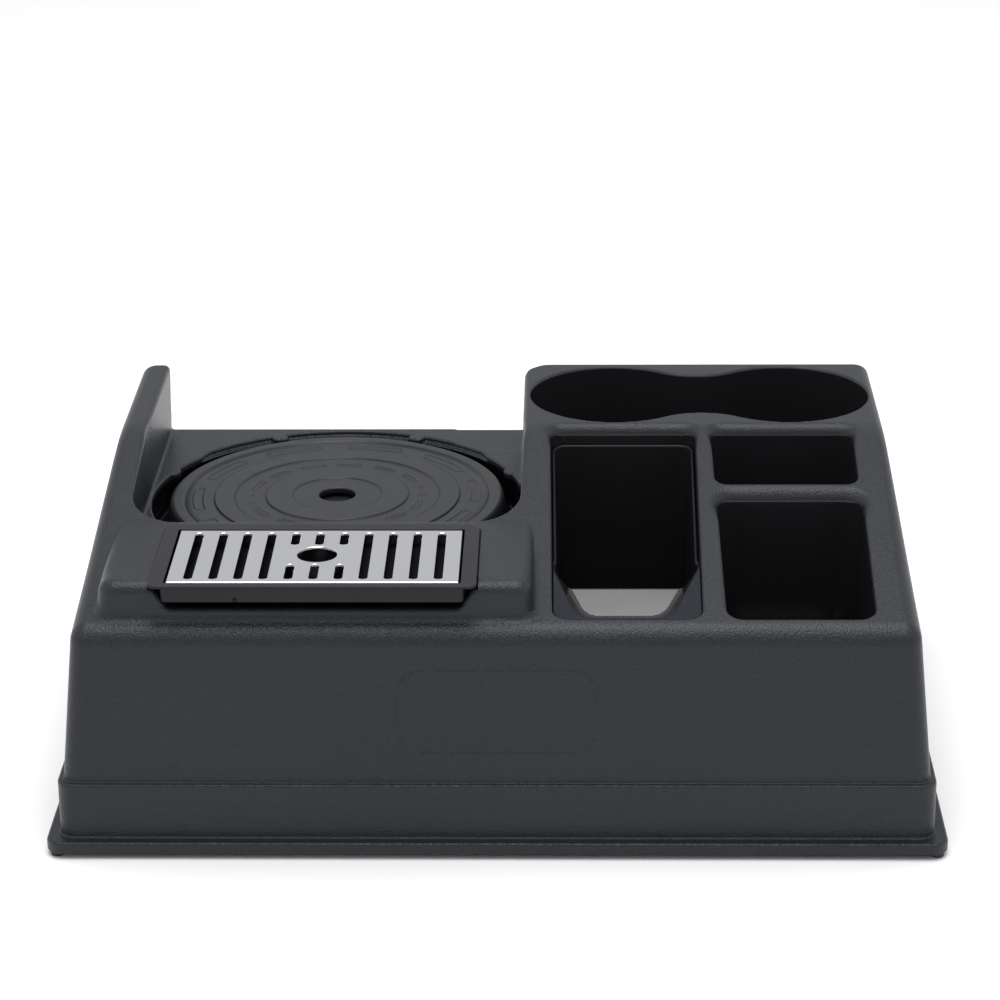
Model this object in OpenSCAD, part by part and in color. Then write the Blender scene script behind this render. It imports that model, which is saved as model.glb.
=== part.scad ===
/* [Stand body] */
// Width over the base flange
body_w = 500; // [480:1:520]
// Depth over the base flange
body_d = 360; // [350:1:370]
// Height of the raised rear plateau above the flange underside
plateau_h = 172.7; // [170:0.1:176]
// Wall thickness of the moulding
wall = 3; // [2.5:0.1:3.5]
// Height of the base flange
flange_h = 7.1; // [6:0.1:8]
// How far the base flange stands out from the skirt
flange_w = 7; // [6:0.5:8]
// Height of the ledge above the flange underside
ledge_h = 39.4; // [36:0.1:42]
// Width of the ledge
ledge_w = 3; // [2:0.1:4]
// Rounding of the outer edges
edge_r = 9; // [8:0.5:10]

/* [Turntable] */
// Outer radius of the turntable disc
disc_r = 100.5; // [98:0.5:101]
// Height of the disc rim above the flange underside
disc_z = 128.5; // [128:0.1:130]
// Radius of the round well that the disc turns in
well_r = 112; // [110:0.5:112]
// Number of bearing balls
ball_n = 12; // [8:1:16]
// Radius of one bearing ball
ball_r = 4; // [3.5:0.1:4]

/* [Drip tray] */
// Width of the drip tray over its lip
tray_w = 179.2; // [176:0.2:180]
// Front edge of the tray lip, from the flange front
tray_y0 = 19.2; // [18:0.2:22]
// Back edge of the tray lip, from the flange front
tray_y1 = 111; // [108:0.5:112]
// Width of the grate
grate_w = 159.8; // [156:0.2:160]
// Number of slot columns in the grate
slot_n = 11; // [9:2:11]
// Spacing of the slot columns
slot_pitch = 13.7; // [13:0.1:14]

/* [Compartments] */
// Radius of each cup lobe
cup_r = 50.9; // [48:0.1:51]
// Depth of the cup lobes
cup_depth = 108; // [80:1:115]
// Floor height of the compartments above the flange underside
bin_floor = 45; // [40:1:60]

/* [Feet] */
// Height of the rubber feet
foot_h = 3; // [2:0.5:4]
// Radius of the rubber feet
foot_r = 3.8; // [3.5:0.1:4]

/* [Hidden] */
hw = body_w/2;
slope_a = 123.5;            // height of the sloped top where it would meet the flange front
slope_m = 0.2292;           // rise of the sloped top per unit of depth
draft_f = 0.08;             // draft of front and back walls
draft_s = 0.09;             // draft of side walls
slope_deg = atan(slope_m);
cx = -99.4;                 // turntable and drip tray centre line
cy = 223.3;                 // turntable centre, from the flange front
pocket_x0 = -212;           // inner face of the left wall
pocket_x1 = 13;             // left face of the right-hand block
pocket_y = 120;             // front face of the turntable pocket
pocket_z = 126.8;           // floor of the turntable pocket
pocket_r = 30;              // front corner radius of the pocket
well_z = 106;               // floor of the round well
block_z = 151;              // top of the raised block round the drip tray
block_x0 = -217.5;
block_x1 = 20.5;
block_y = 27.5;
recess_z = 136;             // floor of the drip tray recess
track_r = 66;               // radius of the ball circle
ball_z = well_z + 2.6 + ball_r;  // height of the ball centres
screw_r = 1.5;
bush_pcd_r = 21;
race_pcd_r = 56.5;
liner_gap = 0.4;
liner_t = 1.7;
xl0 = 30.5;  xl1 = 114.5;  yl0 = 28;    yl1 = 219;
xu0 = 125;   xu1 = 208.6;  yu0 = 157.7; yu1 = 219.5;
xr0 = 126;   xr1 = 209.2;  yr0 = 28;    yr1 = 149.5;
cup_y = 279.3;
cup_x0 = 67.9;
cup_x1 = 172.8;
cup_mid = (cup_x0 + cup_x1)/2;
neck_h = 34;                // half width of the neck between the cup lobes
blend_r = ((cup_mid - cup_x0)*(cup_mid - cup_x0) + neck_h*neck_h - cup_r*cup_r)/(2*(cup_r - neck_h));
blend_l = sqrt((cup_mid - cup_x0)*(cup_mid - cup_x0) + (neck_h + blend_r)*(neck_h + blend_r));
tan_x = (cup_mid - cup_x0)*cup_r/blend_l;
tan_y = (neck_h + blend_r)*cup_r/blend_l;
foot_x = hw - 6;
foot_y = 7;

function slope_z(y) = slope_a + slope_m*y;

// moves flange coordinates (front edge y = 0, flange underside z = 0) to the part's frame
module placed() { translate([0, -body_d/2, foot_h]) children(); }

// flat rectangle with rounded corners
module rrect(x0, y0, x1, y1, r) {
  translate([x0 + r, y0]) square([x1 - x0 - 2*r, y1 - y0]);
  translate([x0, y0 + r]) square([x1 - x0, y1 - y0 - 2*r]);
  for (x = [x0 + r, x1 - r], y = [y0 + r, y1 - r]) translate([x, y]) circle(r = r, $fn = 48);
}

// rounded box between two heights
module rbox(x0, y0, x1, y1, r, z0, z1) {
  translate([0, 0, z0]) linear_extrude(height = z1 - z0) rrect(x0, y0, x1, y1, r);
}

// upper body with sloped front and rear plateau, shrunk by t
module upper(t, zlow) {
  r = edge_r - t;
  bx = hw - flange_w - ledge_w;
  by = flange_w + ledge_w;
  zf = slope_z(25) - edge_r/cos(slope_deg);
  zp = plateau_h - edge_r;
  yp = (zp - slope_a + edge_r/cos(slope_deg))/slope_m;
  hull() {
    for (x = [-1, 1], y = [0, 1])
      translate([x*(bx + draft_s*(ledge_h - zlow) - edge_r),
                 y == 0 ? by - draft_f*(ledge_h - zlow) + edge_r : body_d - by + draft_f*(ledge_h - zlow) - edge_r, zlow])
        cylinder(r = r, h = 0.5, $fn = 32);
    for (x = [-1, 1]) {
      translate([x*(bx - draft_s*(zf - ledge_h) - edge_r), by + draft_f*(zf - ledge_h) + edge_r, zf]) sphere(r = r, $fn = 32);
      translate([x*(bx - draft_s*(zp - ledge_h) - edge_r), yp, zp]) sphere(r = r, $fn = 32);
      translate([x*(bx - draft_s*(zp - ledge_h) - edge_r), body_d - by - draft_f*(zp - ledge_h) - edge_r, zp]) sphere(r = r, $fn = 32);
    }
  }
}

// raised block round the drip tray, shrunk by t
module block(t) {
  r = 6 - t;
  hull() {
    for (x = [block_x0 + 8, block_x1 - 8]) {
      translate([x, block_y + 5.3, 110]) cylinder(r = 8 - t, h = 1, $fn = 32);
      translate([x, pocket_y - 1 + t, 110]) cylinder(r = 8 - t, h = 1, $fn = 32);
      translate([x, block_y + 6, block_z - 6]) sphere(r = r, $fn = 32);
      translate([x, pocket_y - 1 + t, block_z - 6]) sphere(r = r, $fn = 32);
    }
  }
}

// half space below the sloped top, lowered by t
module below_slope(t) {
  translate([-300, 0, slope_a - t]) rotate([slope_deg, 0, 0]) translate([0, -100, -300]) cube([600, 600, 300]);
}

// opening over the turntable, grown by t, open at the back
module pocket(t) {
  translate([0, 0, pocket_z - t]) linear_extrude(height = 100)
    union() {
      rrect(pocket_x0 - t, pocket_y - t, pocket_x1 + t, pocket_y + 80, pocket_r + t);
      translate([pocket_x0 - t, pocket_y + 40]) square([pocket_x1 - pocket_x0 + 2*t, 300]);
    }
}

// round well below the pocket, grown by t
module round_well(t) {
  intersection() {
    translate([cx, cy, well_z - t]) cylinder(r = well_r + t, h = pocket_z - well_z + t + 0.5, $fn = 96);
    translate([-300, pocket_y - t, 0]) cube([600, 400, 200]);
  }
}

// outline of the two cup lobes and their neck, grown by t
module cups_2d(t) {
  translate([cup_x0, cup_y]) circle(r = cup_r + t, $fn = 96);
  translate([cup_x1, cup_y]) circle(r = cup_r + t, $fn = 96);
  difference() {
    translate([cup_x0 + tan_x, cup_y - tan_y]) square([2*(cup_mid - cup_x0 - tan_x), 2*tan_y]);
    for (s = [-1, 1]) translate([cup_mid, cup_y + s*(neck_h + blend_r)]) circle(r = blend_r - t, $fn = 96);
  }
}

module cups(t) {
  translate([0, 0, plateau_h - cup_depth - t]) linear_extrude(height = 200) cups_2d(t);
}

module bins(t) {
  rbox(xl0 - t, yl0 - t, xl1 + t, yl1 + t, 8 + t, bin_floor - t, 250);
  rbox(xu0 - t, yu0 - t, xu1 + t, yu1 + t, 8 + t, bin_floor - t, 250);
  rbox(xr0 - t, yr0 - t, xr1 + t, yr1 + t, 8 + t, bin_floor - t, 250);
}

// recess for the drip tray, grown by t, open at the front of the block
module tray_recess(t) {
  rbox(cx - 84.6 - t, 0, cx + 84.6 + t, 106.4 + t, 6, recess_z - t, 220);
}

module corner_at(x, y) { translate([x < 0 ? -foot_x : foot_x, y < 0 ? foot_y : body_d - foot_y, 0]) children(); }

// one-piece moulded stand, open underneath
module body_shell() color([0.22, 0.23, 0.25]) placed() {
  difference() {
    union() {
      // walls and top skin
      difference() {
        union() {
          upper(0, ledge_h - 0.5);
          block(0);
        }
        upper(wall, ledge_h - 2);
        difference() {
          block(wall);
          translate([-300, -100, 0]) cube([600, 100 + pocket_y - 3, 60]);
        }
      }
      // skirt and ledge
      difference() {
        rbox(-hw + flange_w, flange_w, hw - flange_w, body_d - flange_w, edge_r, 0, ledge_h);
        rbox(-hw + flange_w + wall, flange_w + wall, hw - flange_w - wall, body_d - flange_w - wall, edge_r - wall + 0.5, -1, ledge_h - wall);
        rbox(-hw + flange_w + ledge_w + wall, flange_w + ledge_w + wall, hw - flange_w - ledge_w - wall, body_d - flange_w - ledge_w - wall, edge_r - wall + 0.5, -1, ledge_h + 1);
      }
      // turned-down base flange
      difference() {
        rbox(-hw, 0, hw, body_d, 10, 0, flange_h);
        rbox(-hw + 2.6, 2.6, hw - 2.6, body_d - 2.6, 7.5, -1, flange_h - 2.6);
        rbox(-hw + flange_w + wall, flange_w + wall, hw - flange_w - wall, body_d - flange_w - wall, edge_r - wall + 0.5, -1, ledge_h - wall);
      }
      // corner pads for the feet
      for (x = [-1, 1], y = [-1, 1]) corner_at(x, y) {
        cylinder(r = 5.6, h = flange_h, $fn = 48);
      }
      // liners of the hollows
      intersection() {
        union() {
          upper(0, ledge_h - 0.5);
          block(0);
        }
        union() {
          cups(wall);
          bins(wall);
          tray_recess(wall);
          difference() {
            union() { pocket(wall); round_well(wall); }
            translate([pocket_x1 + wall, 0, 0]) cube([300, 400, 300]);
          }
        }
      }
    }
    cups(0);
    bins(0);
    tray_recess(0);
    pocket(0);
    difference() {
      round_well(0);
      // half-round ribs on the well wall
      for (a = [22.5 : 45 : 359]) translate([cx + (well_r + 1)*cos(a), cy + (well_r + 1)*sin(a), 0]) cylinder(r = 6, h = 300, $fn = 32);
    }
    // pivot hole and screw holes in the well floor
    translate([cx, cy, well_z - 10]) cylinder(r = 12.1, h = 20, $fn = 64);
    for (a = [30 : 120 : 359]) translate([cx + bush_pcd_r*cos(a), cy + bush_pcd_r*sin(a), well_z - 10]) cylinder(r = 1.7, h = 20, $fn = 24);
    for (a = [45 : 90 : 359]) translate([cx + race_pcd_r*cos(a), cy + race_pcd_r*sin(a), well_z - 10]) cylinder(r = 1.7, h = 20, $fn = 24);
    // sockets for the feet
    for (x = [-1, 1], y = [-1, 1]) corner_at(x, y) translate([0, 0, -1]) cylinder(r = 2, h = 5.2, $fn = 48);
  }
}

// disc profile: rim, two recessed bands, raised rings and a hub
module turntable_disc() color([0.3, 0.3, 0.31]) placed() translate([cx, cy, 0]) difference() {
  rotate_extrude($fn = 128) difference() {
    union() {
      translate([11, disc_z - 4]) square([disc_r - 14, 4]);
      polygon([[disc_r - 5.4, disc_z - 3.5], [disc_r - 5.4, disc_z - 4], [disc_r - 2.4, disc_z - 6], [disc_r - 0.4, disc_z - 12],
               [disc_r + 2, disc_z - 12], [disc_r + 2, disc_z - 11], [disc_r + 1, disc_z - 6], [disc_r, disc_z - 3]]);
      translate([disc_r - 3, disc_z - 3]) circle(r = 3, $fn = 48);
      translate([14.05, well_z + 3.6]) square([4, disc_z - 4 - well_z - 3]);
      translate([track_r - 7, ball_z + 2.4]) square([14, disc_z - 3.5 - ball_z - 2.4]);
    }
    translate([0.735*disc_r, disc_z - 0.7]) square([0.185*disc_r, 2]);
    translate([0.426*disc_r, disc_z - 0.7]) square([0.195*disc_r, 2]);
    translate([0, disc_z - 0.5]) square([0.273*disc_r, 2]);
    translate([track_r, ball_z]) circle(r = ball_r + 0.15, $fn = 48);
  }
}

// lower ball track, fixed to the well floor
module race_ring() color([0.75, 0.75, 0.72]) placed() translate([cx, cy, 0]) difference() {
  rotate_extrude($fn = 128) difference() {
    translate([52, well_z]) square([27, 4]);
    translate([track_r, ball_z]) circle(r = ball_r + 0.15, $fn = 48);
  }
  for (a = [45 : 90 : 359]) rotate([0, 0, a]) translate([race_pcd_r, 0, well_z - 1]) cylinder(r = screw_r, h = 4.2, $fn = 24);
}

// ring that spaces the balls
module ball_cage() color([0.9, 0.9, 0.87]) placed() translate([cx, cy, 0]) difference() {
  rotate_extrude($fn = 128) translate([track_r - 7, ball_z - 1.7]) square([14, 3.4]);
  for (i = [0 : ball_n - 1]) rotate([0, 0, (i + 0.5)*360/ball_n]) translate([track_r, 0, ball_z - 5]) cylinder(r = ball_r + 0.15, h = 10, $fn = 32);
}

module bearing_balls() color([0.8, 0.8, 0.82]) placed() translate([cx, cy, 0])
  for (i = [0 : ball_n - 1]) rotate([0, 0, (i + 0.5)*360/ball_n]) translate([track_r, 0, ball_z]) sphere(r = ball_r, $fn = 32);

// hollow bush with a closed top, which the disc hub turns on
module pivot_bush() color([0.08, 0.08, 0.08]) placed() translate([cx, cy, 0]) difference() {
  union() {
    translate([0, 0, well_z]) cylinder(r = 25, h = 3, $fn = 96);
    translate([0, 0, well_z]) cylinder(r = 14, h = 16, $fn = 96);
    translate([0, 0, well_z - 4.5]) cylinder(r = 12, h = 5, $fn = 96);
  }
  translate([0, 0, well_z - 10]) cylinder(r = 9, h = 23, $fn = 64);
  for (a = [30 : 120 : 359]) rotate([0, 0, a]) translate([bush_pcd_r, 0, well_z - 1]) cylinder(r = screw_r, h = 3.5, $fn = 24);
}

module floor_screw() {
  translate([0, 0, well_z - wall]) cylinder(r = screw_r, h = wall + 2.3, $fn = 24);
  difference() {
    translate([0, 0, well_z - wall - 1.8]) cylinder(r = 2.9, h = 1.8, $fn = 32);
    for (a = [0, 90]) rotate([0, 0, a]) translate([-2, -0.4, well_z - wall - 2.8]) cube([4, 0.8, 2]);
  }
}

// identical pan-head screws through the well floor
module floor_screws() color([0.8, 0.8, 0.8]) placed() translate([cx, cy, 0]) {
  for (a = [30 : 120 : 359]) rotate([0, 0, a]) translate([bush_pcd_r, 0, 0]) floor_screw();
  for (a = [45 : 90 : 359]) rotate([0, 0, a]) translate([race_pcd_r, 0, 0]) floor_screw();
}

// shallow tray with a flat lip
module drip_tray() color([0.1, 0.1, 0.1]) placed() difference() {
  union() {
    rbox(cx - tray_w/2, tray_y0, cx + tray_w/2, tray_y1, 8, block_z + 0.3, block_z + 2);
    rbox(cx - 83.2, tray_y0 + 2.8, cx + 83.2, 105.2, 5, block_z - 9, block_z + 1);
  }
  rbox(cx - 80.9, tray_y0 + 5.4, cx + 80.9, 102.9, 3, block_z - 7, block_z + 10);
}

// slotted cover with folded-down edges
module drip_grate() color([0.85, 0.85, 0.86]) placed() difference() {
  rbox(cx - grate_w/2, 25.6, cx + grate_w/2, 101.9, 2, block_z - 6.7, block_z + 2);
  rbox(cx - grate_w/2 + 1, 26.6, cx + grate_w/2 - 1, 100.9, 1, block_z - 8, block_z + 1);
  translate([cx, 66, block_z - 5]) cylinder(r = 10.8, h = 20, $fn = 64);
  for (i = [0 : slot_n - 1]) {
    x = cx + (i - (slot_n - 1)/2)*slot_pitch;
    mid = abs(i - (slot_n - 1)/2) < 1.5;
    if (!mid) rbox(x - 2.1, 31, x + 2.1, 97.5, 2.09, block_z - 1, block_z + 5);
    if (mid) {
      rbox(x - 2.1, 31, x + 2.1, 51, 2.09, block_z - 1, block_z + 5);
      rbox(x - 2.1, 81, x + 2.1, 97.5, 2.09, block_z - 1, block_z + 5);
    }
  }
}

// lift-out liner of the left compartment with a finger scoop at its front
module stick_liner() color([0.08, 0.08, 0.08]) placed() {
  g = liner_gap;
  difference() {
    intersection() {
      union() {
        rbox(xl0 + g, 72 - liner_t, xl1 - g, yl1 - g, 8 - g, bin_floor + 0.2, 200);
        rbox(xl0 + g, yl0 + g, xl1 - g, 100, 8 - g, 105, 200);
      }
      below_slope(0.3);
      translate([0, 0, 0]) cube([300, 300, plateau_h - 3]);
    }
    rbox(xl0 + g + liner_t, 72, xl1 - g - liner_t, yl1 - g - liner_t, 6, bin_floor + 2.2, 250);
    // walls lower behind the scoop
    translate([0, 0, slope_a - 12]) rotate([slope_deg, 0, 0]) translate([xl0 - 5, 96, 0]) cube([95, 200, 80]);
    // hollow below the scoop
    difference() {
      rbox(xl0 + g + liner_t, yl0 + g + liner_t, xl1 - g - liner_t, 72 - liner_t, 2, 50, 200);
      difference() {
        translate([-300, 0, slope_a - 12]) rotate([slope_deg, 0, 0]) translate([0, -100, 0]) cube([600, 600, 300]);
      }
    }
    // scoop
    hull() {
      translate([0, 0, slope_a + 1]) rotate([slope_deg, 0, 0]) linear_extrude(height = 20)
        polygon([[44, 30.5], [94.5, 30.5], [105.5, 47], [111.5, 58], [111.5, 90], [33, 90], [33, 58], [33.8, 47]]);
      translate([0, 0, slope_a - 10]) rotate([slope_deg, 0, 0]) linear_extrude(height = 1)
        polygon([[49.5, 47], [92.6, 47], [103, 76], [41, 76]]);
    }
  }
}

module foot() {
  translate([0, 0, -foot_h]) cylinder(r = foot_r, h = foot_h, $fn = 48);
  cylinder(r = 1.97, h = 4, $fn = 48);
}
module foot_front_left() color([0.05, 0.05, 0.05]) placed() corner_at(-1, -1) foot();
module foot_front_right() color([0.05, 0.05, 0.05]) placed() corner_at(1, -1) foot();
module foot_back_left() color([0.05, 0.05, 0.05]) placed() corner_at(-1, 1) foot();
module foot_back_right() color([0.05, 0.05, 0.05]) placed() corner_at(1, 1) foot();

body_shell();
turntable_disc();
race_ring();
ball_cage();
bearing_balls();
pivot_bush();
floor_screws();
drip_tray();
drip_grate();
stick_liner();
foot_front_left();
foot_front_right();
foot_back_left();
foot_back_right();
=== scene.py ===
"""Looks of the coffee station stand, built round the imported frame. Lengths in the modelling functions are in millimetres,
in flange coordinates: x to the right, y from the flange front to the back, z from the flange underside."""

import math

import bmesh
import bpy
import numpy as np
from mathutils import Matrix, Vector


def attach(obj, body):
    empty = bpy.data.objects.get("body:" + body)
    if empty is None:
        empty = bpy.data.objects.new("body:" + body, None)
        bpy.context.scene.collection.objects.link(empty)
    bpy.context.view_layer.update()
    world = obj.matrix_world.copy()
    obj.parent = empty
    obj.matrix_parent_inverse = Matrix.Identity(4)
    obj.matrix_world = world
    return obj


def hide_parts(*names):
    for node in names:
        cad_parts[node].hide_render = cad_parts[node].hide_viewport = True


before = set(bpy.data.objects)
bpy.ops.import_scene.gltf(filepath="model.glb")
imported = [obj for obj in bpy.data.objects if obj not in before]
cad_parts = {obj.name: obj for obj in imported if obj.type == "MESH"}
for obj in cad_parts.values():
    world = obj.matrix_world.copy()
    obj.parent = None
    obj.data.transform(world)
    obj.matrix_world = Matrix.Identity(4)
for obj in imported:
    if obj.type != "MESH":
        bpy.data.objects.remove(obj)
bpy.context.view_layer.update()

D = 360.0          # depth of the flange
FOOT = 3.0         # height of the feet
CX, CY = -99.4, 223.3
TOP = 172.65
SA, SM = 123.5, 0.2292
NS = math.sqrt(1 + SM * SM)


def to_row(v):
    return np.stack([v[:, 0], v[:, 1] - D / 2, v[:, 2] + FOOT], 1) / 1000.0


# ---------------------------------------------------------------- distance functions
def iround(a, b, r):
    """intersection with a rounded convex edge of radius r"""
    return np.minimum(-r, np.maximum(a, b)) + np.hypot(np.maximum(a + r, 0), np.maximum(b + r, 0))


def uround(a, b, r):
    """union with a rounded concave edge of radius r"""
    return np.maximum(r, np.minimum(a, b)) - np.hypot(np.maximum(r - a, 0), np.maximum(r - b, 0))


def cut(a, b, r):
    return iround(a, -b, r)


def smax(a, b, k):
    h = np.maximum(k - np.abs(a - b), 0) / k
    return np.maximum(a, b) + h * h * k / 4


def rr(x, y, x0, y0, x1, y1, r):
    """rounded rectangle"""
    qx = np.abs(x - (x0 + x1) / 2) - ((x1 - x0) / 2 - r)
    qy = np.abs(y - (y0 + y1) / 2) - ((y1 - y0) / 2 - r)
    return np.minimum(np.maximum(qx, qy), 0) + np.hypot(np.maximum(qx, 0), np.maximum(qy, 0)) - r


def ramp(t, a, b):
    t = np.clip((t - a) / (b - a), 0, 1)
    return t * t * (3 - 2 * t)


def slope(y):
    return SA + SM * y


# ---------------------------------------------------------------- the moulded stand
def outer_upper(x, y, z):
    ins = 0.08 * (z - 39.4)
    d2 = rr(x, y, -(240 - 0.09 * (z - 39.4)), 10 + ins, 240 - 0.09 * (z - 39.4), 350 - ins, 9.0) * 0.996
    top = smax((z - slope(y)) / NS, z - TOP, 3.0)
    return iround(d2, top, 9.0 - 3.0 * ramp(y, 60, 200))


def outer_block(x, y, z):
    t = 151 - z
    d2 = rr(x, y, -217 - 0.1 * t, 27.5 - 0.01 * t, 20.0 + 0.08 * t, 150, 9.0) * 0.995
    return iround(d2, z - 151, 7.0 - 2.5 * ramp(y, 40, 60))


def cups(x, y, z):
    u = np.abs(x - 120.35)
    v = np.abs(y - 279.3)
    lobe = np.hypot(u - 52.45, v) - 50.9
    blend = 38.94 - np.hypot(u, v - 72.94)
    side = -52.45 * v - 72.94 * (u - 52.45)
    d = np.where(side > 0, blend, lobe) + 0.03 * (TOP - z)
    return iround(d, 64.7 - z, 8.0)


def bins(x, y, z):
    out = []
    for x0, y0, x1, y1, r, zr in ((30.5, 28, 114.5, 220.5, 9, 150), (125, 157.7, 208.6, 220.5, 8, 165), (126, 28, 209.2, 149.5, 10, 148)):
        s = 0.045 * (zr - z)
        out.append(iround(rr(x, y, x0 + s, y0 + s, x1 - s, y1 - s, r), 45 - z, 6.0))
    return out


def pocket(x, y, z):
    d2 = rr(x, y, -212.1 - 0.035 * (160 - z), 120, 13 - 0.027 * (TOP - z), 760, 30.0)
    p = iround(d2, 126.8 - z, 1.8)
    rho = np.hypot(x - CX, y - CY)
    side = np.abs(x - CX) / np.maximum(rho, 1)
    well = iround(rho - 111.6 + 0.03 * (126.8 - z), 106 - z, 3.0)
    ledge = iround(rho - 115.2 + 6.0 * ramp(side, 0.72, 0.86) + 6.0 * ramp(CY - y, 0, 40), 123.7 - z, 0.8)
    w = np.minimum(well, ledge)
    for a in range(8):
        t = math.radians(22.5 + 45 * a)
        rib = rr((x - CX) * math.cos(t) + (y - CY) * math.sin(t), (y - CY) * math.cos(t) - (x - CX) * math.sin(t), 108.6, -5.0, 122, 5.0, 3.4)
        w = cut(w, rib, 1.2)
    w = np.maximum(w, 120.0 - y)
    return uround(p, w, 1.3)


def tray_recess(x, y, z):
    hw = 80.3 + 0.57 * (z - 136.2)
    hw = np.minimum(hw, 88.6)
    return iround(rr(x, y, CX - hw, -60, CX + hw, 106.6, 6.0) * 0.9, 136.2 - z, 2.5)


def body(x, y, z):
    u = outer_upper(x, y, z)
    skirt2 = rr(x, y, -243, 7, 243, 353, 9.0)
    skirt = iround(skirt2, z - 39.4, 1.2)
    fl2 = rr(x, y, -250, 0, 250, 360, 10.0)
    flange = iround(fl2, z - 7.1, 1.5)
    block = outer_block(x, y, z)
    o = uround(uround(u, skirt, 0.7), flange, 0.8)
    o = uround(o, block, 3.6 - 3.0 * ramp(y, 78, 100))
    o = iround(o, -z, 0.6)
    # faint blank plaque on the front wall
    pl = rr(x, z, -54.5, 56.9, 56.2, 104.6, 14.0)
    o = o + np.where(y < 30, 0.32 * (1 - ramp(pl, -0.9, 0.3)), 0)
    # hollows
    bl, bu, br = bins(x, y, z)
    cp = cups(x, y, z)
    pk = pocket(x, y, z)
    tr = tray_recess(x, y, z)
    back = ramp(y, 60, 140)
    d = cut(o, cp, 1.6)
    d = cut(d, bl, 1.4 + 4.8 * ramp(y, 190, 214))
    d = cut(d, bu, 1.4 + 4.8 * ramp(y, 190, 214))
    d = cut(d, br, 1.4 + 5.0 * ramp(y, 120, 142))
    d = cut(d, tr, 2.7 - 1.9 * ramp(y, 34, 42))
    d = cut(d, pk, 1.6 + 2.2 * ramp(y, 140, 240) * ramp(z, 134, 150))
    # large vertical corner at the back of the tower
    ins = 0.08 * (z - 39.4)
    side = iround(y - (350 - ins), -(x - (10.5 - 0.027 * (TOP - z))), 28.0)
    d = cut(d, np.maximum(-side, np.maximum(127.0 - z, np.maximum(-30 - x, 305 - y))), 2.2)
    # open underside with walls about 3 mm thick
    inner = np.minimum(u + 3.5, block + 3.5)
    hollow = np.minimum(np.minimum(np.minimum(bl, bu), np.minimum(br, cp)), np.minimum(pk, tr)) - 3.4
    cav = cut(inner, hollow, 2.0)
    d = np.maximum(d, -cav)
    # channel inside the turned-down flange, with pads for the feet
    ch = np.maximum(np.maximum(fl2 + 2.6, z - 4.5), -skirt2 - 0.01)
    pad = np.hypot(np.abs(x) - 244, np.abs(y - 180) - 173) - 5.6
    ch = np.maximum(ch, -pad)
    d = np.maximum(d, -ch)
    # pivot hole in the well floor
    rho = np.hypot(x - CX, y - CY)
    d = np.maximum(d, -np.maximum(rho - 12.1, z - 112))
    return d


# ---------------------------------------------------------------- meshing
def net(f, lo, hi, h, tidy=3, layers=None):
    """surface net of f = 0 on a grid of pitch h, with its points moved on to the surface"""
    n = [int(math.ceil((b - a) / h)) + 1 for a, b in zip(lo, hi)]
    xs, ys, zs = (np.float32(lo[i] + h * np.arange(n[i])) for i in range(3))
    if layers is not None:
        zs = np.float32(np.concatenate([np.arange(a, b, st * (h / 1.25)) for a, b, st in layers]))
        n[2] = len(zs)
    F = np.empty(n, np.float32)
    X, Y = xs[:, None, None], ys[None, :, None]
    step = max(1, int(1.5e6 // (n[0] * n[1])))
    for k in range(0, n[2], step):
        Z = zs[None, None, k : k + step]
        shape = (n[0], n[1], Z.shape[2])
        F[:, :, k : k + step] = f(np.broadcast_to(X, shape), np.broadcast_to(Y, shape), np.broadcast_to(Z, shape))
    F[F == 0] = 1e-6
    S = F < 0
    c = np.zeros([m - 1 for m in n], np.uint8)
    for a in (0, 1):
        for b in (0, 1):
            for e in (0, 1):
                c += S[a : n[0] - 1 + a, b : n[1] - 1 + b, e : n[2] - 1 + e]
    act = (c > 0) & (c < 8)
    idx = np.argwhere(act)
    num = np.full(act.shape, -1, np.int64)
    num[act] = np.arange(len(idx))
    tot = np.zeros((len(idx), 3))
    cnt = np.zeros(len(idx))
    corner = [(a, b, e) for a in (0, 1) for b in (0, 1) for e in (0, 1)]
    val = {q: F[idx[:, 0] + q[0], idx[:, 1] + q[1], idx[:, 2] + q[2]].astype(float) for q in corner}
    for q in corner:
        for ax in range(3):
            if q[ax]:
                continue
            w = list(q)
            w[ax] = 1
            v0, v1 = val[q], val[tuple(w)]
            hit = (v0 < 0) != (v1 < 0)
            t = np.where(hit, v0 / np.where(hit, v0 - v1, 1), 0)
            p = np.array(q, float)[None, :] + np.zeros((len(idx), 3))
            p[:, ax] += t
            tot += p * hit[:, None]
            cnt += hit
    g = idx + tot / cnt[:, None]
    v = np.stack([np.interp(g[:, k], np.arange(n[k]), ax.astype(float)) for k, ax in enumerate((xs, ys, zs))], 1)
    faces = []
    for ax in range(3):
        a1, a2 = (ax + 1) % 3, (ax + 2) % 3
        s0 = [slice(None)] * 3
        s1 = [slice(None)] * 3
        s0[ax], s1[ax] = slice(0, n[ax] - 1), slice(1, n[ax])
        A, B = S[tuple(s0)], S[tuple(s1)]
        e = np.argwhere(A != B)
        ok = (e[:, a1] > 0) & (e[:, a2] > 0) & (e[:, a1] < n[a1] - 1) & (e[:, a2] < n[a2] - 1)
        e = e[ok]
        inside = A[e[:, 0], e[:, 1], e[:, 2]]
        quad = []
        for d1, d2 in ((0, 0), (-1, 0), (-1, -1), (0, -1)):
            q = e.copy()
            q[:, a1] += d1
            q[:, a2] += d2
            quad.append(num[q[:, 0], q[:, 1], q[:, 2]])
        quad = np.stack(quad, 1)
        quad[~inside] = quad[~inside][:, ::-1]
        faces.append(quad)
    faces = np.concatenate(faces)
    faces = faces[(faces >= 0).all(1)]
    v = on_surface(f, v, h, tidy)
    return v, faces


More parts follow.
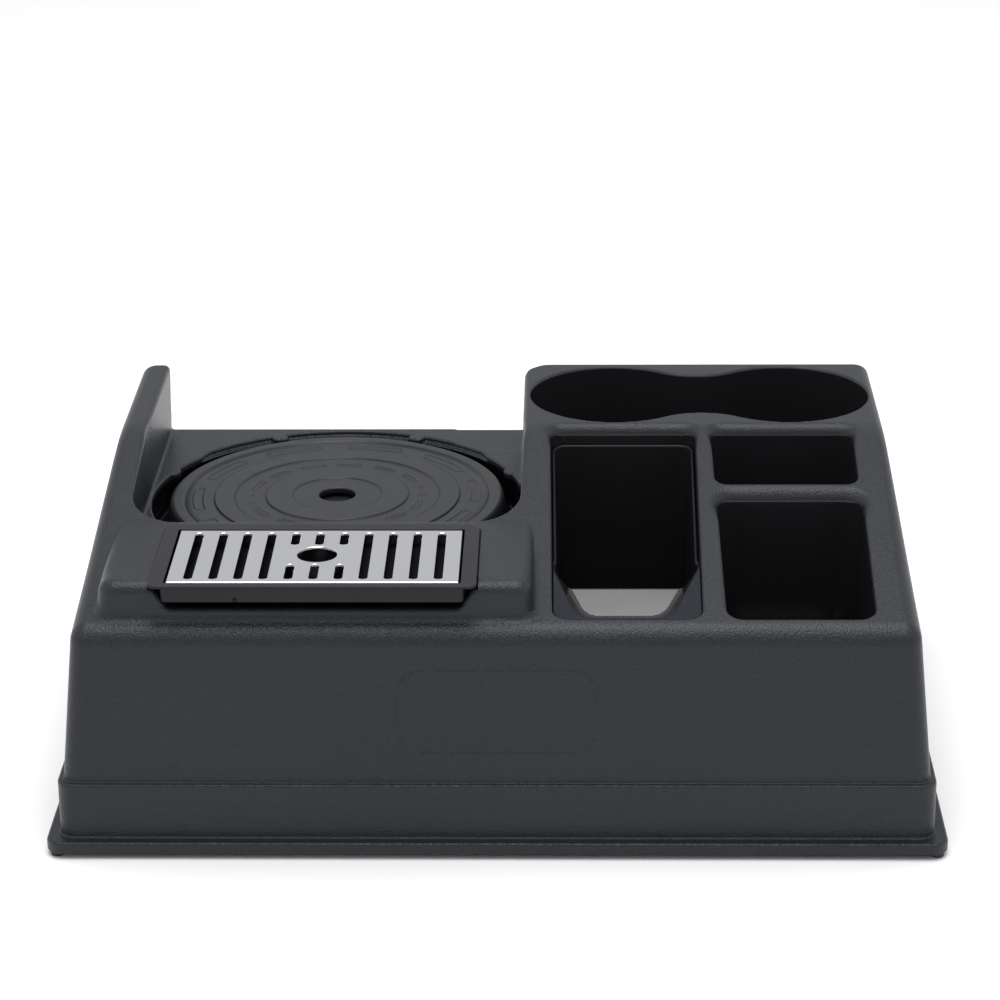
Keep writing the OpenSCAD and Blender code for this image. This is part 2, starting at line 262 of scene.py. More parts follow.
def gradient(f, v, e=0.03):
    g = np.empty_like(v)
    for ax in range(3):
        a, b = v.copy(), v.copy()
        a[:, ax] += e
        b[:, ax] -= e
        g[:, ax] = (f(a[:, 0], a[:, 1], a[:, 2]) - f(b[:, 0], b[:, 1], b[:, 2])) / (2 * e)
    return g


def on_surface(f, v, h, times):
    for _ in range(times):
        d = f(v[:, 0], v[:, 1], v[:, 2])
        g = gradient(f, v)
        n2 = np.maximum((g * g).sum(1), 0.25)
        s = np.clip(d / n2, -0.5 * h, 0.5 * h)
        v = v - g * s[:, None]
    return v


def mesh_object(name, verts, faces, smooth=True):
    me = bpy.data.meshes.new(name)
    verts = np.asarray(verts, np.float32)
    faces = np.asarray(faces, np.int32)
    k = faces.shape[1]
    me.vertices.add(len(verts))
    me.vertices.foreach_set("co", verts.ravel())
    me.loops.add(faces.size)
    me.loops.foreach_set("vertex_index", faces.ravel())
    me.polygons.add(len(faces))
    me.polygons.foreach_set("loop_start", np.arange(0, faces.size, k, dtype=np.int32))
    me.polygons.foreach_set("loop_total", np.full(len(faces), k, np.int32))
    me.update(calc_edges=True)
    me.validate()
    if smooth:
        me.polygons.foreach_set("use_smooth", np.ones(len(me.polygons), bool))
    ob = bpy.data.objects.new(name, me)
    bpy.context.scene.collection.objects.link(ob)
    return ob


def sdf_object(name, f, lo, hi, h, target, quick_h=None, layers=None):
    """mesh of f = 0 thinned to about target triangles, with the surface's own normals"""
    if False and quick_h:
        h = quick_h
    v, q = net(f, lo, hi, h, layers=layers)
    ob = mesh_object(name, to_row(v), q)
    tris = 2 * len(q)
    if tris > target:
        mod = ob.modifiers.new("thin", "DECIMATE")
        mod.ratio = target / tris
        bpy.context.view_layer.update()
        dg = bpy.context.evaluated_depsgraph_get()
        me = bpy.data.meshes.new_from_object(ob.evaluated_get(dg))
        old = ob.data
        ob.modifiers.clear()
        ob.data = me
        bpy.data.meshes.remove(old)
        me.name = name
        me.polygons.foreach_set("use_smooth", np.ones(len(me.polygons), bool))
    me = ob.data
    p = np.empty(len(me.vertices) * 3, np.float32)
    me.vertices.foreach_get("co", p)
    p = p.reshape(-1, 3).astype(float) * 1000.0
    p[:, 1] += D / 2
    p[:, 2] -= FOOT
    p = on_surface(f, p, min(h, 0.6), 2)
    me.vertices.foreach_set("co", to_row(p).astype(np.float32).ravel())
    me.update()
    g = gradient(f, p, 0.02)
    ln = np.linalg.norm(g, axis=1)
    bad = ln < 0.3
    g = g / np.maximum(ln, 1e-6)[:, None]
    if bad.any():
        vn = np.empty(len(me.vertices) * 3, np.float32)
        me.vertices.foreach_get("normal", vn)
        g[bad] = vn.reshape(-1, 3)[bad]
    me.normals_split_custom_set_from_vertices(g.astype(np.float32))
    print(name, len(me.vertices), "points", len(me.polygons), "faces")
    return ob


# ---------------------------------------------------------------- materials
def material(name):
    m = bpy.data.materials.new(name)
    m.use_nodes = True
    nt = m.node_tree
    return m, nt, nt.nodes["Principled BSDF"]


def node(nt, kind, **sets):
    n = nt.nodes.new(kind)
    for k, v in sets.items():
        setattr(n, k, v)
    return n


def math_node(nt, op, a, b=None, c=None):
    n = node(nt, "ShaderNodeMath", operation=op)
    for i, q in enumerate((a, b, c)):
        if q is None:
            continue
        if isinstance(q, (int, float)):
            n.inputs[i].default_value = q
        else:
            nt.links.new(q, n.inputs[i])
    return n.outputs[0]


def noise(nt, vec, scale, detail=2.0, rough=0.5):
    n = node(nt, "ShaderNodeTexNoise")
    n.inputs["Scale"].default_value = scale
    n.inputs["Detail"].default_value = detail
    n.inputs["Roughness"].default_value = rough
    nt.links.new(vec, n.inputs["Vector"])
    return n.outputs["Fac"]


def mix_colour(nt, fac, a, b):
    n = node(nt, "ShaderNodeMix", data_type="RGBA")
    nt.links.new(fac, n.inputs["Factor"])
    for key, q in (("A", a), ("B", b)):
        s = [i for i in n.inputs if i.name == key and i.type == "RGBA"][0]
        if isinstance(q, tuple):
            s.default_value = (*q, 1)
        else:
            nt.links.new(q, s)
    return [o for o in n.outputs if o.type == "RGBA"][0]


def mix_value(nt, fac, a, b):
    n = node(nt, "ShaderNodeMix", data_type="FLOAT")
    nt.links.new(fac, n.inputs["Factor"])
    for key, q in (("A", a), ("B", b)):
        s = [i for i in n.inputs if i.name == key and i.type == "VALUE"][0]
        if isinstance(q, (int, float)):
            s.default_value = q
        else:
            nt.links.new(q, s)
    return [o for o in n.outputs if o.type == "VALUE"][0]


def bump(nt, height, strength, distance, normal=None):
    b = node(nt, "ShaderNodeBump")
    b.inputs["Distance"].default_value = distance
    if isinstance(strength, (int, float)):
        b.inputs["Strength"].default_value = strength
    else:
        nt.links.new(strength, b.inputs["Strength"])
    nt.links.new(height, b.inputs["Height"])
    if normal is not None:
        nt.links.new(normal, b.inputs["Normal"])
    return b.outputs["Normal"]


def grained_body(name="grained_plastic", bin_depth=0.0052, whole=False):
    """charcoal moulded plastic with a pebble grain outside and polished faces inside the compartments, with painted
    shade round the drip-tray lip and in the turntable well
    """
    m, nt, p = material(name)
    tc = node(nt, "ShaderNodeTexCoord").outputs["Object"]
    sep = node(nt, "ShaderNodeSeparateXYZ")
    nt.links.new(tc, sep.inputs[0])
    X, Y, Z = sep.outputs

    def between(v, a, b):
        return math_node(nt, "MULTIPLY", math_node(nt, "GREATER_THAN", v, a), math_node(nt, "LESS_THAN", v, b))

    top = math_node(nt, "MINIMUM", math_node(nt, "MULTIPLY_ADD", Y, SM, (SA + SM * D / 2 + FOOT) / 1000), (TOP + FOOT) / 1000)
    depth = math_node(nt, "SUBTRACT", top, Z)
    in_bins = math_node(nt, "MULTIPLY", between(X, 0.029, 0.2107), between(Y, -0.1535, 0.0418))
    in_bins = math_node(nt, "MULTIPLY", in_bins, math_node(nt, "GREATER_THAN", depth, bin_depth))
    in_cups = math_node(nt, "MULTIPLY", between(X, 0.0155, 0.2252), between(Y, 0.0475, 0.1512))
    in_cups = math_node(nt, "MULTIPLY", in_cups, math_node(nt, "GREATER_THAN", depth, 0.0014))
    gloss = math_node(nt, "MAXIMUM", in_bins, in_cups)
    wx = math_node(nt, "ADD", X, -CX / 1000)
    wy = math_node(nt, "ADD", Y, (D / 2 - CY) / 1000)
    rho = math_node(nt, "SQRT", math_node(nt, "ADD", math_node(nt, "MULTIPLY", wx, wx), math_node(nt, "MULTIPLY", wy, wy)))
    in_well = math_node(nt, "MULTIPLY", math_node(nt, "LESS_THAN", rho, 0.1160), between(Z, 0.1055, 0.1264))
    gloss = math_node(nt, "MAXIMUM", gloss, in_well)
    # painted shadow line round the lip of the drip tray: a thin ring on the stand top is darkened
    tx = math_node(nt, "SUBTRACT", math_node(nt, "ABSOLUTE", math_node(nt, "ADD", X, -CX / 1000)), 0.0841)
    ty = math_node(nt, "SUBTRACT", math_node(nt, "ABSOLUTE", math_node(nt, "ADD", Y, 0.1149)), 0.0404)
    mx = math_node(nt, "MAXIMUM", tx, 0.0)
    my = math_node(nt, "MAXIMUM", ty, 0.0)
    lip = math_node(nt, "SQRT", math_node(nt, "ADD", math_node(nt, "MULTIPLY", mx, mx), math_node(nt, "MULTIPLY", my, my)))
    lip_shadow_line = math_node(nt, "MULTIPLY", math_node(nt, "LESS_THAN", lip, 0.0062), between(Z, 0.1502, 0.1560))
    # painted shade mask: the tray-lip ring and the turntable well round the disc
    painted_shade = math_node(nt, "MAXIMUM", lip_shadow_line, in_well)
    grain_on = math_node(nt, "SUBTRACT", 1.0, gloss)

    vor = node(nt, "ShaderNodeTexVoronoi", feature="SMOOTH_F1")
    vor.inputs["Scale"].default_value = 1050
    vor.inputs["Smoothness"].default_value = 0.6
    warp = node(nt, "ShaderNodeTexNoise")
    warp.inputs["Scale"].default_value = 700
    nt.links.new(tc, warp.inputs["Vector"])
    mixv = node(nt, "ShaderNodeMix", data_type="VECTOR")
    mixv.inputs["Factor"].default_value = 0.0012
    va = [i for i in mixv.inputs if i.name == "A" and i.type == "VECTOR"][0]
    vb = [i for i in mixv.inputs if i.name == "B" and i.type == "VECTOR"][0]
    nt.links.new(tc, va)
    nt.links.new(warp.outputs["Color"], vb)
    nt.links.new([o for o in mixv.outputs if o.type == "VECTOR"][0], vor.inputs["Vector"])
    fine = noise(nt, tc, 2600, 2.0, 0.6)
    height = math_node(nt, "MULTIPLY_ADD", fine, 0.35, math_node(nt, "SUBTRACT", 1.0, vor.outputs["Distance"]))
    n1 = bump(nt, height, math_node(nt, "MULTIPLY", grain_on, 0.7), 0.00034)
    # slow waviness of a large thin moulding
    wave = noise(nt, tc, 14, 1.0, 0.4)
    n2 = bump(nt, wave, 0.25, 0.0006, n1)
    # edge line of the faint blank plaque on the front wall
    qx = math_node(nt, "SUBTRACT", math_node(nt, "ABSOLUTE", math_node(nt, "ADD", X, -0.00085)), 0.04135)
    qz = math_node(nt, "SUBTRACT", math_node(nt, "ABSOLUTE", math_node(nt, "ADD", Z, -0.08375)), 0.00985)
    ax = math_node(nt, "MAXIMUM", qx, 0.0)
    az = math_node(nt, "MAXIMUM", qz, 0.0)
    out = math_node(nt, "SQRT", math_node(nt, "ADD", math_node(nt, "MULTIPLY", ax, ax), math_node(nt, "MULTIPLY", az, az)))
    pd = math_node(nt, "SUBTRACT", math_node(nt, "ADD", out, math_node(nt, "MINIMUM", math_node(nt, "MAXIMUM", qx, qz), 0.0)), 0.014)
    line = math_node(nt, "MULTIPLY_ADD", math_node(nt, "ABSOLUTE", pd), -1400.0, 1.0)
    line = math_node(nt, "MULTIPLY", math_node(nt, "MAXIMUM", line, 0.0), math_node(nt, "LESS_THAN", Y, -0.155))
    n2 = bump(nt, line, 0.8, 0.00035, n2)
    nt.links.new(n2, p.inputs["Normal"])

    pebble = math_node(nt, "MULTIPLY", vor.outputs["Distance"], 1.1)
    tone = mix_value(nt, pebble, noise(nt, tc, 420, 3.0, 0.65), 0.12)
    slow = noise(nt, tc, 9, 2.0, 0.5)
    col = mix_colour(nt, tone, (0.0050, 0.0070, 0.0110), (0.0250, 0.0290, 0.0370))
    col2 = mix_colour(nt, math_node(nt, "MULTIPLY", slow, 0.3), col, (0.022, 0.025, 0.032))
    col3 = mix_colour(nt, gloss, col2, (0.0120, 0.0120, 0.0135))
    # painted shade: near-black colour on the tray-lip ring and in the turntable well
    col3 = mix_colour(nt, painted_shade, col3, (0.0035, 0.0035, 0.0040))
    nt.links.new(col3, p.inputs["Base Color"])
    r1 = math_node(nt, "MULTIPLY_ADD", tone, 0.12, 0.30)
    smear = noise(nt, tc, 26, 4.0, 0.65)
    r2 = math_node(nt, "MULTIPLY_ADD", smear, 0.10, 0.08)
    nt.links.new(mix_value(nt, gloss, r1, r2), p.inputs["Roughness"])
    # painted shade: low IOR so the tray-lip ring and the turntable well reflect less
    nt.links.new(mix_value(nt, painted_shade, mix_value(nt, gloss, 1.38, 1.5), 1.1), p.inputs["IOR"])
    return m


def liner_finish():
    """grained lip, polished bin; the scoop facet keeps a painted brighter reflection and the rest of the liner a
    painted weaker one
    """
    m = grained_body("liner_black", 0.0022)
    nt, p = m.node_tree, m.node_tree.nodes["Principled BSDF"]
    tc = node(nt, "ShaderNodeTexCoord").outputs["Object"]
    sep = node(nt, "ShaderNodeSeparateXYZ")
    nt.links.new(tc, sep.inputs[0])
    half = math_node(nt, "ABSOLUTE", math_node(nt, "ADD", sep.outputs[0], -0.0711))
    edge = math_node(nt, "MULTIPLY_ADD", sep.outputs[1], 0.44, 0.0812)
    keep = math_node(nt, "MULTIPLY", math_node(nt, "LESS_THAN", half, edge), math_node(nt, "LESS_THAN", sep.outputs[1], -0.1035))
    keep = math_node(nt, "MULTIPLY", keep, math_node(nt, "GREATER_THAN", sep.outputs[1], -0.1490))
    # painted reflection and shade: IOR 1.58 brightens the scoop facet, IOR 1.2 darkens the rest of the liner
    nt.links.new(mix_value(nt, keep, 1.2, 1.58), p.inputs["IOR"])
    return m


def plain_plastic(name, dark, light, rough, var, scale=60, bump_h=0.00003, bump_scale=900, ior=1.5):
    m, nt, p = material(name)
    tc = node(nt, "ShaderNodeTexCoord").outputs["Object"]
    a = noise(nt, tc, scale, 4.0, 0.6)
    nt.links.new(mix_colour(nt, a, dark, light), p.inputs["Base Color"])
    b = noise(nt, tc, scale * 2.3, 5.0, 0.65)
    nt.links.new(math_node(nt, "MULTIPLY_ADD", b, var, rough), p.inputs["Roughness"])
    c = noise(nt, tc, bump_scale, 3.0, 0.6)
    nt.links.new(bump(nt, c, 0.5, bump_h), p.inputs["Normal"])
    p.inputs["IOR"].default_value = ior
    return m


def tray_finish():
    """satin black outside; in the basin under the grate the reflection is cut almost to nothing as painted shade"""
    m = plain_plastic("tray_black", (0.005, 0.0052, 0.0065), (0.009, 0.0094, 0.0115), 0.28, 0.12, 50, 0.00002, 1100, 1.35)
    nt = m.node_tree
    tc = node(nt, "ShaderNodeTexCoord").outputs["Object"]
    sep = node(nt, "ShaderNodeSeparateXYZ")
    nt.links.new(tc, sep.inputs[0])
    inside = math_node(nt, "LESS_THAN", math_node(nt, "ABSOLUTE", math_node(nt, "ADD", sep.outputs[0], -CX / 1000)), 0.0811)
    inside = math_node(nt, "MULTIPLY", inside, math_node(nt, "LESS_THAN", math_node(nt, "ABSOLUTE", math_node(nt, "ADD", sep.outputs[1], 0.11625)), 0.0394))
    # painted shade: IOR 1.04 in the basin under the grate, 1.35 elsewhere
    nt.links.new(mix_value(nt, inside, 1.35, 1.04), nt.nodes["Principled BSDF"].inputs["IOR"])
    return m


def steel(name, rough, var, tint=(0.80, 0.81, 0.83), grain=(60, 2400, 60), bump_h=0.000004):
    m, nt, p = material(name)
    tc = node(nt, "ShaderNodeTexCoord").outputs["Object"]
    mp = node(nt, "ShaderNodeMapping")
    mp.inputs["Scale"].default_value = grain
    nt.links.new(tc, mp.inputs["Vector"])
    a = noise(nt, mp.outputs[0], 1.0, 3.0, 0.6)
    smear = noise(nt, tc, 34, 4.0, 0.6)
    col = mix_colour(nt, smear, tuple(0.93 * t for t in tint), tint)
    nt.links.new(col, p.inputs["Base Color"])
    p.inputs["Metallic"].default_value = 1.0
    r = math_node(nt, "MULTIPLY_ADD", smear, var, rough)
    nt.links.new(math_node(nt, "MULTIPLY_ADD", a, var * 0.6, r), p.inputs["Roughness"])
    nt.links.new(bump(nt, a, 0.4, bump_h), p.inputs["Normal"])
    return m


MAT = {
    "body": grained_body(),
    "disc": plain_plastic("disc_plastic", (0.0100, 0.0112, 0.0140), (0.0175, 0.0192, 0.0230), 0.30, 0.14, 45, 0.00003, 1300, 1.42),
    "gloss": plain_plastic("gloss_black", (0.0065, 0.0065, 0.0075), (0.0095, 0.0095, 0.0105), 0.10, 0.12, 30, 0.00001, 500),
    "tray": tray_finish(),
    "chrome": steel("polished_steel", 0.07, 0.07),
    "ball": steel("ball_steel", 0.05, 0.04),
    "screw": steel("screw_steel", 0.25, 0.15, (0.72, 0.72, 0.70)),
    "acetal": plain_plastic("bearing_plastic", (0.60, 0.60, 0.57), (0.70, 0.70, 0.67), 0.35, 0.15, 80),
    "rubber": plain_plastic("foot_rubber", (0.012, 0.012, 0.012), (0.022, 0.022, 0.022), 0.62, 0.2, 120, 0.00006, 1500),
}


def finish_piece(ob, mat, body_name, slot, *nodes):
    ob.data.materials.clear()
    ob.data.materials.append(mat)
    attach(ob, body_name)
    if nodes:
        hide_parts(*nodes)
    return ob


# ---------------------------------------------------------------- stand
LAYERS = ((-2, 9, 1.0), (9, 35, 2.2), (35, 42, 1.0), (42, 64, 1.5), (64, 116, 2.0), (116, 156, 0.95), (156, 176, 1.3))
stand = sdf_object("stand_moulding", body, (-252.5, -2.5, -2.5), (252.5, 362.5, 175), 1.25, 190000, quick_h=1.9, layers=LAYERS)
finish_piece(stand, MAT["body"], "stand", "grained_plastic", "body_shell")

# ---------------------------------------------------------------- turntable disc
R = 100.5
DZ = 128.5
BAND = 0.7


def step(r, r0, w=0.5):
    return ramp(r, r0 - w / 2, r0 + w / 2)


def disc_height(r, th):
    h = -BAND * (step(r, 0.735 * R) - step(r, 0.92 * R, 0.9))
    h = h - BAND * (step(r, 0.426 * R) - step(r, 0.621 * R))
    h = h - 0.5 * (1 - step(r, 0.273 * R))
    # fine groove at the foot of each step
    for r0, w in ((0.735 * R + 0.55, 0.35), (0.92 * R - 0.75, 0.45), (0.426 * R + 0.55, 0.3), (0.621 * R - 0.55, 0.3), (0.273 * R - 0.45, 0.3)):
        h = h - 0.5 * np.exp(-(((r - r0) / w) ** 2))
    # raised outlines of curved dashes, in two circles
    for rc, half_w, n, half_a, off, line, top in ((0.83 * R, 2.9, 10, 12.5, 5, 0.5, 0.42), (0.512 * R, 1.7, 14, 8.5, 8, 0.42, 0.42)):
        t = (th - math.radians(off)) * n / (2 * math.pi)
        t = (t - np.round(t)) * 2 * math.pi / n
        qx = np.abs(t) * rc - (math.radians(half_a) * rc - half_w)
        qy = np.abs(r - rc)
        d = np.hypot(np.maximum(qx, 0), qy) - half_w
        h = h + top * np.exp(-((d / line) ** 2)) - 0.1 * (1 - ramp(d, -1.0, 0.2))
    return h


def disc_object():
    edge = []
    for a in np.linspace(0, 1, 7):
        t = math.radians(90 - 72 * a)
        edge.append((R - 2.6 + 2.6 * math.cos(t), DZ - 2.6 + 2.6 * math.sin(t)))
    flank = [(R + 0.35, 125.2), (R + 0.9, 122.8), (R + 1.4, 120.6), (R + 1.9, 118.4), (R + 2.0, 117.4), (R + 1.8, 116.75), (R + 1.2, 116.5),
             (R + 0.2, 116.6), (R - 0.4, 117.2), (R - 1.2, 119.8), (R - 2.6, 122.4), (R - 4.0, 124.0), (R - 5.4, 124.5)]
    groove = [(66 + 4.15 * math.cos(t), 112.6 + 4.15 * math.sin(t)) for t in np.linspace(math.radians(35.3), math.radians(144.7), 9)]
    under = [(74, 124.5), (73.2, 124.2), (73, 123.5), (73, 115.3), (72.7, 115)] + groove + [(59.3, 115), (59, 115.3), (59, 123.5), (58.8, 124.2), (58, 124.5),
             (20, 124.5), (18.4, 124.1), (18.05, 123), (18.05, 110), (17.7, 109.6), (14.4, 109.6), (14.05, 110), (14.05, 124.5), (11.3, 124.5), (11, 124.8), (11, 126.6)]
    hole = [(11.0 + 1.0 - 1.0 * math.cos(t), DZ - 0.5 - 1.0 + 1.0 * math.sin(t)) for t in np.linspace(0, math.pi / 2, 6)]
    rs = set(np.round(np.concatenate([
        np.linspace(12.2, R - 2.7, 26),
        *[np.arange(c - 1.2, c + 1.21, 0.3) for c in (0.735 * R + 0.2, 0.92 * R - 0.2, 0.426 * R + 0.2, 0.621 * R - 0.2, 0.273 * R - 0.2)],
        np.arange(0.83 * R - 4.2, 0.83 * R - 1.5, 0.42), np.arange(0.83 * R + 1.5, 0.83 * R + 4.2, 0.42),
        np.arange(0.512 * R - 2.9, 0.512 * R + 2.9, 0.42)]), 2))
    rs = np.array(sorted(rs))
    keep = [rs[0]]
    for r in rs[1:]:
        if r - keep[-1] > 0.17:
            keep.append(r)
    rs = np.array(keep)
    seg = 900
    top = [(r, None) for r in rs]
    prof = hole + top + edge + flank + under
    th = np.linspace(0, 2 * math.pi, seg, endpoint=False)
    rows = []
    for r, z in prof:
        if z is None:
            zz = DZ + disc_height(np.full(seg, r), th)
        else:
            zz = np.full(seg, z)
        rows.append(np.stack([CX + r * np.cos(th), CY + r * np.sin(th), zz], 1))
    n = len(rows)
    i = np.arange(n)[:, None]
    j = np.arange(seg)[None, :]
    i2, j2 = (i + 1) % n, (j + 1) % seg
    q = np.stack([i * seg + j, i2 * seg + j + 0 * i, i2 * seg + j2, i * seg + j2 + 0 * i], -1).reshape(-1, 4)
    ob = mesh_object("turntable_top", to_row(np.concatenate(rows)), q)
    return ob


disc = disc_object()
finish_piece(disc, MAT["disc"], "turntable", "disc_plastic", "turntable_disc")


# ---------------------------------------------------------------- drip tray, grate, liner
def tray(x, y, z):
    lip = iround(rr(x, y, CX - 89.6, 19.2, CX + 89.6, 111, 4.0 + 3.5 * ramp(y, 60, 70)), np.abs(z - 152.15) - 0.85, 0.55)
    s = 0.06 * (151 - z)
    basin = iround(rr(x, y, CX - 83.2 + s, 22 + s, CX + 83.2 - s, 105.2 - s, 3.0), np.abs(z - 147.25) - 5.25, 0.9)
    o = uround(lip, basin, 0.5)
    nub = np.sqrt((x + 141.5) ** 2 + (y - 22.6) ** 2 + ((z - 143.8) * 1.2) ** 2) - 1.2
    o = np.minimum(o, nub)
    inner = iround(rr(x, y, CX - 80.9, 24.6, CX + 80.9, 102.9, 2.2), 144.0 - z, 1.2)
    return cut(o, inner, 0.35)


def slots():
    out = []
    for k in range(11):
        x = CX + (k - 5) * 13.7
        for y0, y1 in (((31, 51), (81, 97.5)) if k in (4, 5, 6) else ((31, 97.5),)):
            out.append((x, y0, y1))
    return out


def grate(x, y, z):
    plate2 = rr(x, y, CX - 79.9, 25.6, CX + 79.9, 101.9, 0.9)
    o = iround(np.minimum(plate2, 1e3), np.maximum(z - 153, 144.3 - z), 0.9)
    # one-millimetre sheet with its edges folded down
    hollow = iround(plate2 + 1.0, z - 152.0, 0.3)
    s2 = np.full(np.shape(x), 1e3)
    for sx, y0, y1 in slots():
        d = np.hypot(x - sx, np.maximum(np.abs(y - (y0 + y1) / 2) - ((y1 - y0) / 2 - 2.1), 0)) - 2.1
        s2 = np.minimum(s2, d)
    hole = np.hypot(x - CX, y - 66) - 10.8
    s2 = np.minimum(s2, hole)
    lip = np.maximum(s2 - 0.9, np.maximum(z - 152.6, 151.2 - z))
    o = np.minimum(np.maximum(o, -hollow), lip)
    return cut(o, s2, 1.15)


def plane3(x, y, z, p1, p2, p3, inside):
    p1, p2, p3 = (np.array(p, float) for p in (p1, p2, p3))
    n = np.cross(p2 - p1, p3 - p1)
    n /= np.linalg.norm(n)
    if n @ (np.array(inside, float) - p1) > 0:
        n = -n
    return (x - p1[0]) * n[0] + (y - p1[1]) * n[1] + (z - p1[2]) * n[2]


def liner(x, y, z):
    s = 0.045 * (150 - z)
    top = slope(y) - 0.7 - 11.6 * ramp(y, 90, 97)
    o = iround(rr(x, y, 30.95 + s * 0.9, 28.45 + s, 114.05 - s * 0.9, 218.6 - s, 7.6), np.maximum((z - top) / NS, 45.2 - z), 0.5)
    deep = iround(rr(x, y, 32.6 + s, 73, 112.4 - s, 216.9 - s, 6.0), 47.0 - z, 5.0)
    ins = (71, 62, 133)
    fl, fr, bl, br = (49.0, 50.2, 121.2), (93.2, 50.2, 121.2), (38.6, 76, 130.9), (105.4, 76, 130.9)
    facet = plane3(x, y, z, fl, fr, bl, ins)
    left = plane3(x, y, z, fl, bl, (39.5, 47.5, slope(47.5) - 0.7), ins)
    right = plane3(x, y, z, fr, br, (102.6, 47.5, slope(47.5) - 0.7), ins)
    front = plane3(x, y, z, fl, fr, (49.5, 31.0, slope(31.0) - 0.7), ins)
    scoop = iround(np.maximum(left, right), front, 6.0)
    scoop = iround(scoop, facet, 1.2)
    scoop = np.maximum(scoop, y - 130)
    d = cut(o, uround(deep, scoop, 0.8), 0.7)
    return d


tray_ob = sdf_object("tray_shell", tray, (CX - 92, 17, 140), (CX + 92, 113, 155), 0.62, 90000, quick_h=1.0)
finish_piece(tray_ob, MAT["tray"], "tray", "gloss_black", "drip_tray")
grate_ob = sdf_object("grate_sheet", grate, (CX - 82, 23.5, 142.5), (CX + 82, 104, 154.5), 0.42, 180000, quick_h=0.7)
finish_piece(grate_ob, MAT["chrome"], "grate", "polished_steel", "drip_grate")
liner_ob = sdf_object("liner_shell", liner, (28, 26, 42.5), (117, 221.5, 175), 0.85, 110000, quick_h=1.6)
finish_piece(liner_ob, liner_finish(), "liner", "gloss_black", "stick_liner")


# ---------------------------------------------------------------- feet
def turned(name, prof, x, y, seg=64):
    th = np.linspace(0, 2 * math.pi, seg, endpoint=False)
    v = [np.stack([x + r * np.cos(th), y + r * np.sin(th), np.full(seg, z)], 1) for r, z in prof]
    n = len(prof)
    v = np.concatenate(v + [np.array([[x, y, prof[0][1]], [x, y, prof[-1][1]]])])
    me = bmesh.new()
    vs = [me.verts.new(p) for p in to_row(v)]
    for i in range(n - 1):
        for j in range(seg):
            k = (j + 1) % seg
            me.faces.new((vs[i * seg + j], vs[i * seg + k], vs[(i + 1) * seg + k], vs[(i + 1) * seg + j]))
    for j in range(seg):
        k = (j + 1) % seg
        me.faces.new((vs[k], vs[j], vs[-2]))
        me.faces.new((vs[(n - 1) * seg + j], vs[(n - 1) * seg + k], vs[-1]))
    bmesh.ops.recalc_face_normals(me, faces=me.faces)
    data = bpy.data.meshes.new(name)
    me.to_mesh(data)
    me.free()
    data.polygons.foreach_set("use_smooth", np.ones(len(data.polygons), bool))
    data.set_sharp_from_angle(angle=math.radians(50))
    ob = bpy.data.objects.new(name, data)
    bpy.context.scene.collection.objects.link(ob)
    return ob


for tag, fx, fy in (("front_left", -244, 7), ("front_right", 244, 7), ("back_left", -244, 353), ("back_right", 244, 353)):
    prof = [(2.6, -3.0), (3.2, -2.95), (3.6, -2.7), (3.78, -2.3), (3.8, -1.9), (3.8, -0.5), (3.72, -0.2), (3.5, 0.0), (1.97, 0.0), (1.97, 3.6), (1.8, 3.95), (1.5, 4.05)]
    ob = turned("pad_" + tag, prof, fx, fy)
    finish_piece(ob, MAT["rubber"], "stand", "foot_rubber", "foot_" + tag)

for name, mat in (("race_ring", "acetal"), ("ball_cage", "acetal"), ("bearing_balls", "ball"), ("pivot_bush", "disc"), ("floor_screws", "screw")):
    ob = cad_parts[name]
    ob.data.materials.clear()
    ob.data.materials.append(MAT[mat])

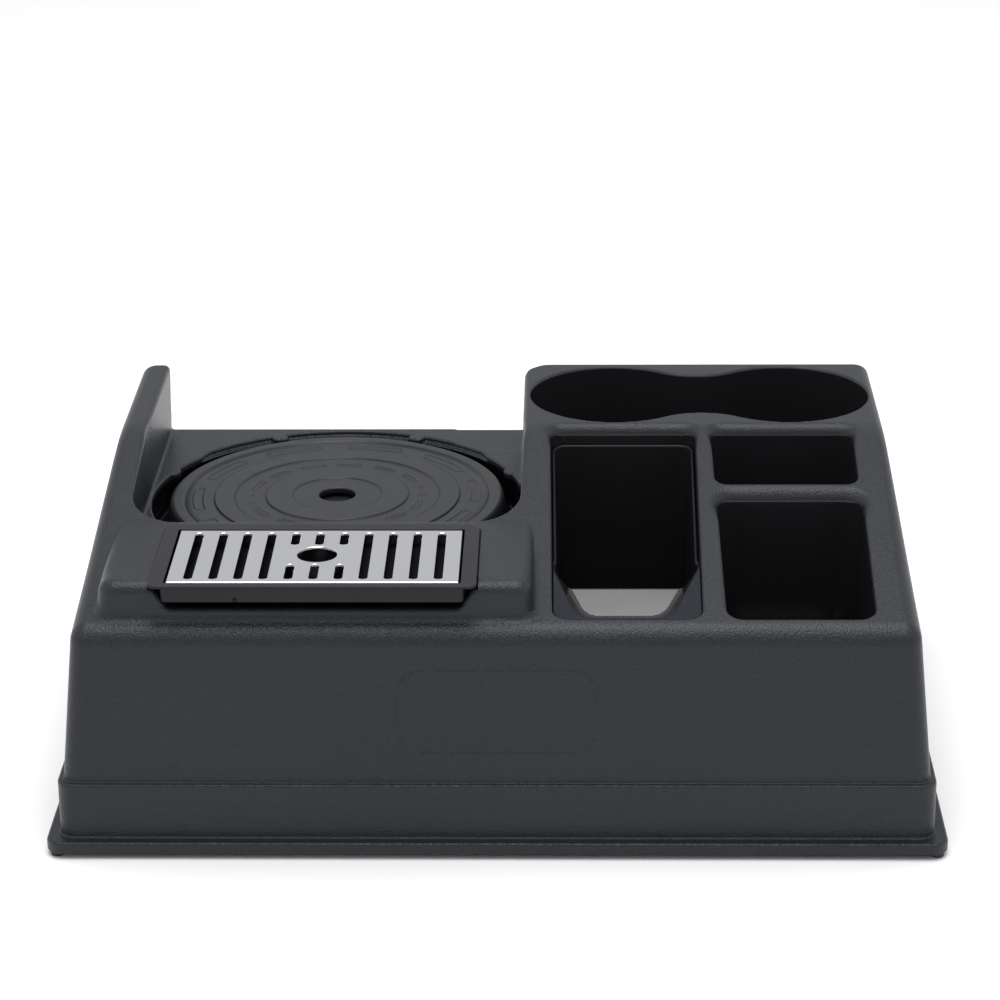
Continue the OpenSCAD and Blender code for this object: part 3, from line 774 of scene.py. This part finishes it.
# ---------------------------------------------------------------- camera
f_px, pitch, yaw, roll = 3187.9, math.radians(21.2), math.radians(-1.3), math.radians(-0.5)
eye = (39.6, -1571.0, 820.3)
fwd = np.array([math.sin(yaw) * math.cos(pitch), math.cos(yaw) * math.cos(pitch), -math.sin(pitch)])
right = np.array([math.cos(yaw), -math.sin(yaw), 0.0])
up = np.cross(right, fwd)
r2 = math.cos(roll) * right + math.sin(roll) * up
u2 = -math.sin(roll) * right + math.cos(roll) * up
cam = bpy.data.objects.new("camera", bpy.data.cameras.new("camera"))
bpy.context.scene.collection.objects.link(cam)
cam.data.sensor_width = 36.0
cam.data.lens = f_px * 36.0 / 1000.0
cam.data.clip_end = 50
cam.matrix_world = Matrix((
    (r2[0], u2[0], -fwd[0], eye[0] / 1000),
    (r2[1], u2[1], -fwd[1], (eye[1] - D / 2) / 1000),
    (r2[2], u2[2], -fwd[2], (eye[2] + FOOT) / 1000),
    (0, 0, 0, 1)))
bpy.context.scene.camera = cam

# ---------------------------------------------------------------- floor and light
bpy.ops.mesh.primitive_plane_add(size=14, location=(0, 0, 0))
floor = bpy.context.object
floor.name = "floor"
fm, fnt, fp = material("pale_floor")
fp.inputs["Base Color"].default_value = (0.93, 0.93, 0.93, 1)
fp.inputs["Roughness"].default_value = 0.9
fp.inputs["Specular IOR Level"].default_value = 0.1
floor.data.materials.append(fm)

world = bpy.data.worlds.new("studio")
bpy.context.scene.world = world
world.use_nodes = True
wt = world.node_tree
wc = node(wt, "ShaderNodeTexCoord")
wsep = node(wt, "ShaderNodeSeparateXYZ")
wt.links.new(wc.outputs["Generated"], wsep.inputs[0])
wr = node(wt, "ShaderNodeValToRGB")
wr.color_ramp.interpolation = "EASE"
el = wr.color_ramp.elements
el[0].position, el[0].color = 0.30, (0.60, 0.60, 0.61, 1)
el[1].position, el[1].color = 0.85, (1.05, 1.05, 1.05, 1)
wt.links.new(math_node(wt, "ABSOLUTE", wsep.outputs[0]), wr.inputs[0])
wt.links.new(wr.outputs[0], wt.nodes["Background"].inputs[0])
wt.nodes["Background"].inputs[1].default_value = 1.0


def area(name, loc, target, size, radiance, size_y=None):
    size_y = size_y or size
    l = bpy.data.lights.new(name, "AREA")
    l.shape = "RECTANGLE"
    l.size = size
    l.size_y = size_y
    l.energy = radiance * math.pi * size * size_y
    o = bpy.data.objects.new(name, l)
    bpy.context.scene.collection.objects.link(o)
    o.location = loc
    o.rotation_mode = "QUATERNION"
    o.rotation_quaternion = (Vector(target) - Vector(loc)).to_track_quat("-Z", "Y")
    return o


area("overhead", (0.0, -0.2, 2.75), (0, -0.2, 0.0), 1.5, 4.9, 2.75)
bpy.context.scene.view_settings.view_transform = "Standard"
